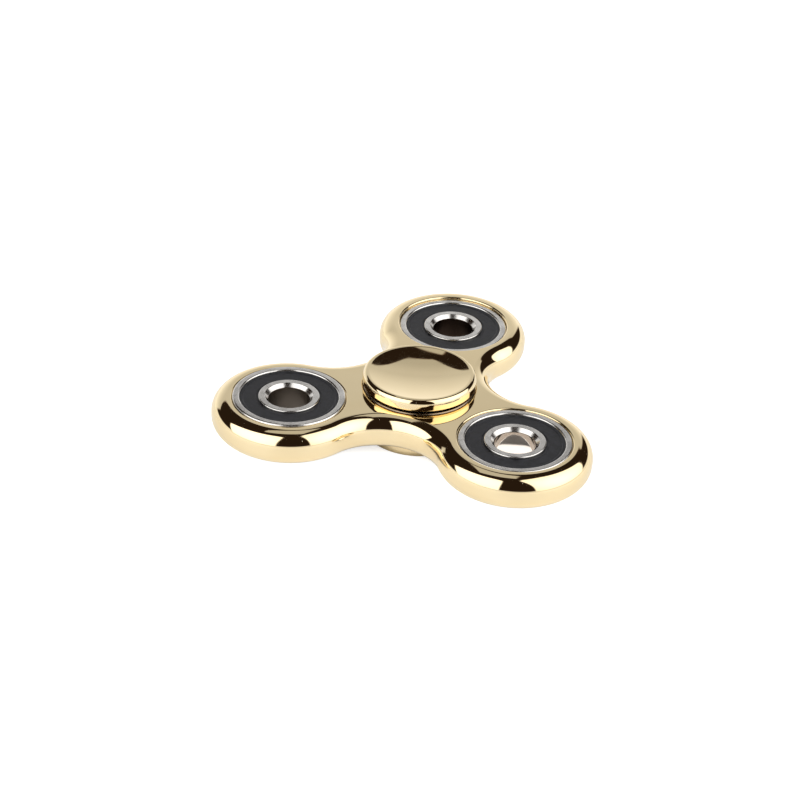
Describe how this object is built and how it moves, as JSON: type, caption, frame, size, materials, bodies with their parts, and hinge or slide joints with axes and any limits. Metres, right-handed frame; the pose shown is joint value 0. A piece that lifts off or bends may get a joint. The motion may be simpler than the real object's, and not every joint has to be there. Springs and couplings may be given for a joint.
{
  "type": "fidget spinner",
  "caption": "Three-lobed hand spinner with a mirror-bright gold body, a ball bearing in each lobe and dished finger caps on its hub bearing.",
  "frame": {"origin": "centre of the hub bearing: on the spin axis, half way through the body's thickness", "axes": "+Z along the spin axis, out through the top cap; +Y out along the rear lobe; +X to the right, with the left and right lobes at 120 degrees to the rear one"},
  "size_m": [0.075, 0.069, 0.0128],
  "materials": {
    "gold_plating": "polished",
    "bearing_steel": "satin",
    "ball_steel": "polished",
    "cage_steel": "satin",
    "seal_core_steel": "satin",
    "seal_rubber": "matte"
  },
  "bodies": {
    "finger_caps": {"top_cap": "gold_plating", "bottom_cap": "gold_plating", "hub_inner_ring": "bearing_steel"},
    "spinner": {"spinner_body": "gold_plating", "hub_outer_ring": "bearing_steel", "rear_outer_ring": "bearing_steel", "left_outer_ring": "bearing_steel", "right_outer_ring": "bearing_steel", "hub_seal_upper": "seal_rubber", "hub_seal_lower": "seal_rubber", "hub_seal_core_upper": "seal_core_steel", "hub_seal_core_lower": "seal_core_steel", "rear_seal_upper": "seal_rubber", "rear_seal_lower": "seal_rubber", "rear_seal_core_upper": "seal_core_steel", "rear_seal_core_lower": "seal_core_steel", "left_seal_upper": "seal_rubber", "left_seal_lower": "seal_rubber", "left_seal_core_upper": "seal_core_steel", "left_seal_core_lower": "seal_core_steel", "right_seal_upper": "seal_rubber", "right_seal_lower": "seal_rubber", "right_seal_core_upper": "seal_core_steel", "right_seal_core_lower": "seal_core_steel"},
    "hub_ball_cage": {"hub_balls": "ball_steel", "hub_cage_upper": "cage_steel", "hub_cage_lower": "cage_steel"},
    "rear_ring": {"rear_inner_ring": "bearing_steel"},
    "rear_ball_cage": {"rear_balls": "ball_steel", "rear_cage_upper": "cage_steel", "rear_cage_lower": "cage_steel"},
    "left_ring": {"left_inner_ring": "bearing_steel"},
    "left_ball_cage": {"left_balls": "ball_steel", "left_cage_upper": "cage_steel", "left_cage_lower": "cage_steel"},
    "right_ring": {"right_inner_ring": "bearing_steel"},
    "right_ball_cage": {"right_balls": "ball_steel", "right_cage_upper": "cage_steel", "right_cage_lower": "cage_steel"}
  },
  "joints": [
    {"name": "spin", "type": "hinge", "parent": "finger_caps", "child": "spinner", "pos_m": [0, 0, 0], "axis": [0, 0, 1], "continuous": true},
    {"name": "hub_cage_roll", "type": "hinge", "parent": "finger_caps", "child": "hub_ball_cage", "pos_m": [0, 0, 0], "axis": [0, 0, 1], "continuous": true},
    {"name": "rear_ring_spin", "type": "hinge", "parent": "spinner", "child": "rear_ring", "pos_m": [0, 0.026, -0.0005], "axis": [0, 0, 1], "continuous": true},
    {"name": "rear_cage_roll", "type": "hinge", "parent": "spinner", "child": "rear_ball_cage", "pos_m": [0, 0.026, -0.0005], "axis": [0, 0, 1], "continuous": true},
    {"name": "left_ring_spin", "type": "hinge", "parent": "spinner", "child": "left_ring", "pos_m": [-0.02252, -0.013, 0.0003], "axis": [0, 0, 1], "continuous": true},
    {"name": "left_cage_roll", "type": "hinge", "parent": "spinner", "child": "left_ball_cage", "pos_m": [-0.02252, -0.013, 0.0003], "axis": [0, 0, 1], "continuous": true},
    {"name": "right_ring_spin", "type": "hinge", "parent": "spinner", "child": "right_ring", "pos_m": [0.02252, -0.013, -0.00015], "axis": [0, 0, 1], "continuous": true},
    {"name": "right_cage_roll", "type": "hinge", "parent": "spinner", "child": "right_ball_cage", "pos_m": [0.02252, -0.013, -0.00015], "axis": [0, 0, 1], "continuous": true}
  ],
  "couplings": [
    {"joint": "hub_cage_roll", "follows": "spin", "ratio": 0.6323},
    {"joint": "rear_cage_roll", "follows": "rear_ring_spin", "ratio": 0.3677},
    {"joint": "left_cage_roll", "follows": "left_ring_spin", "ratio": 0.3677},
    {"joint": "right_cage_roll", "follows": "right_ring_spin", "ratio": 0.3677}
  ]
}
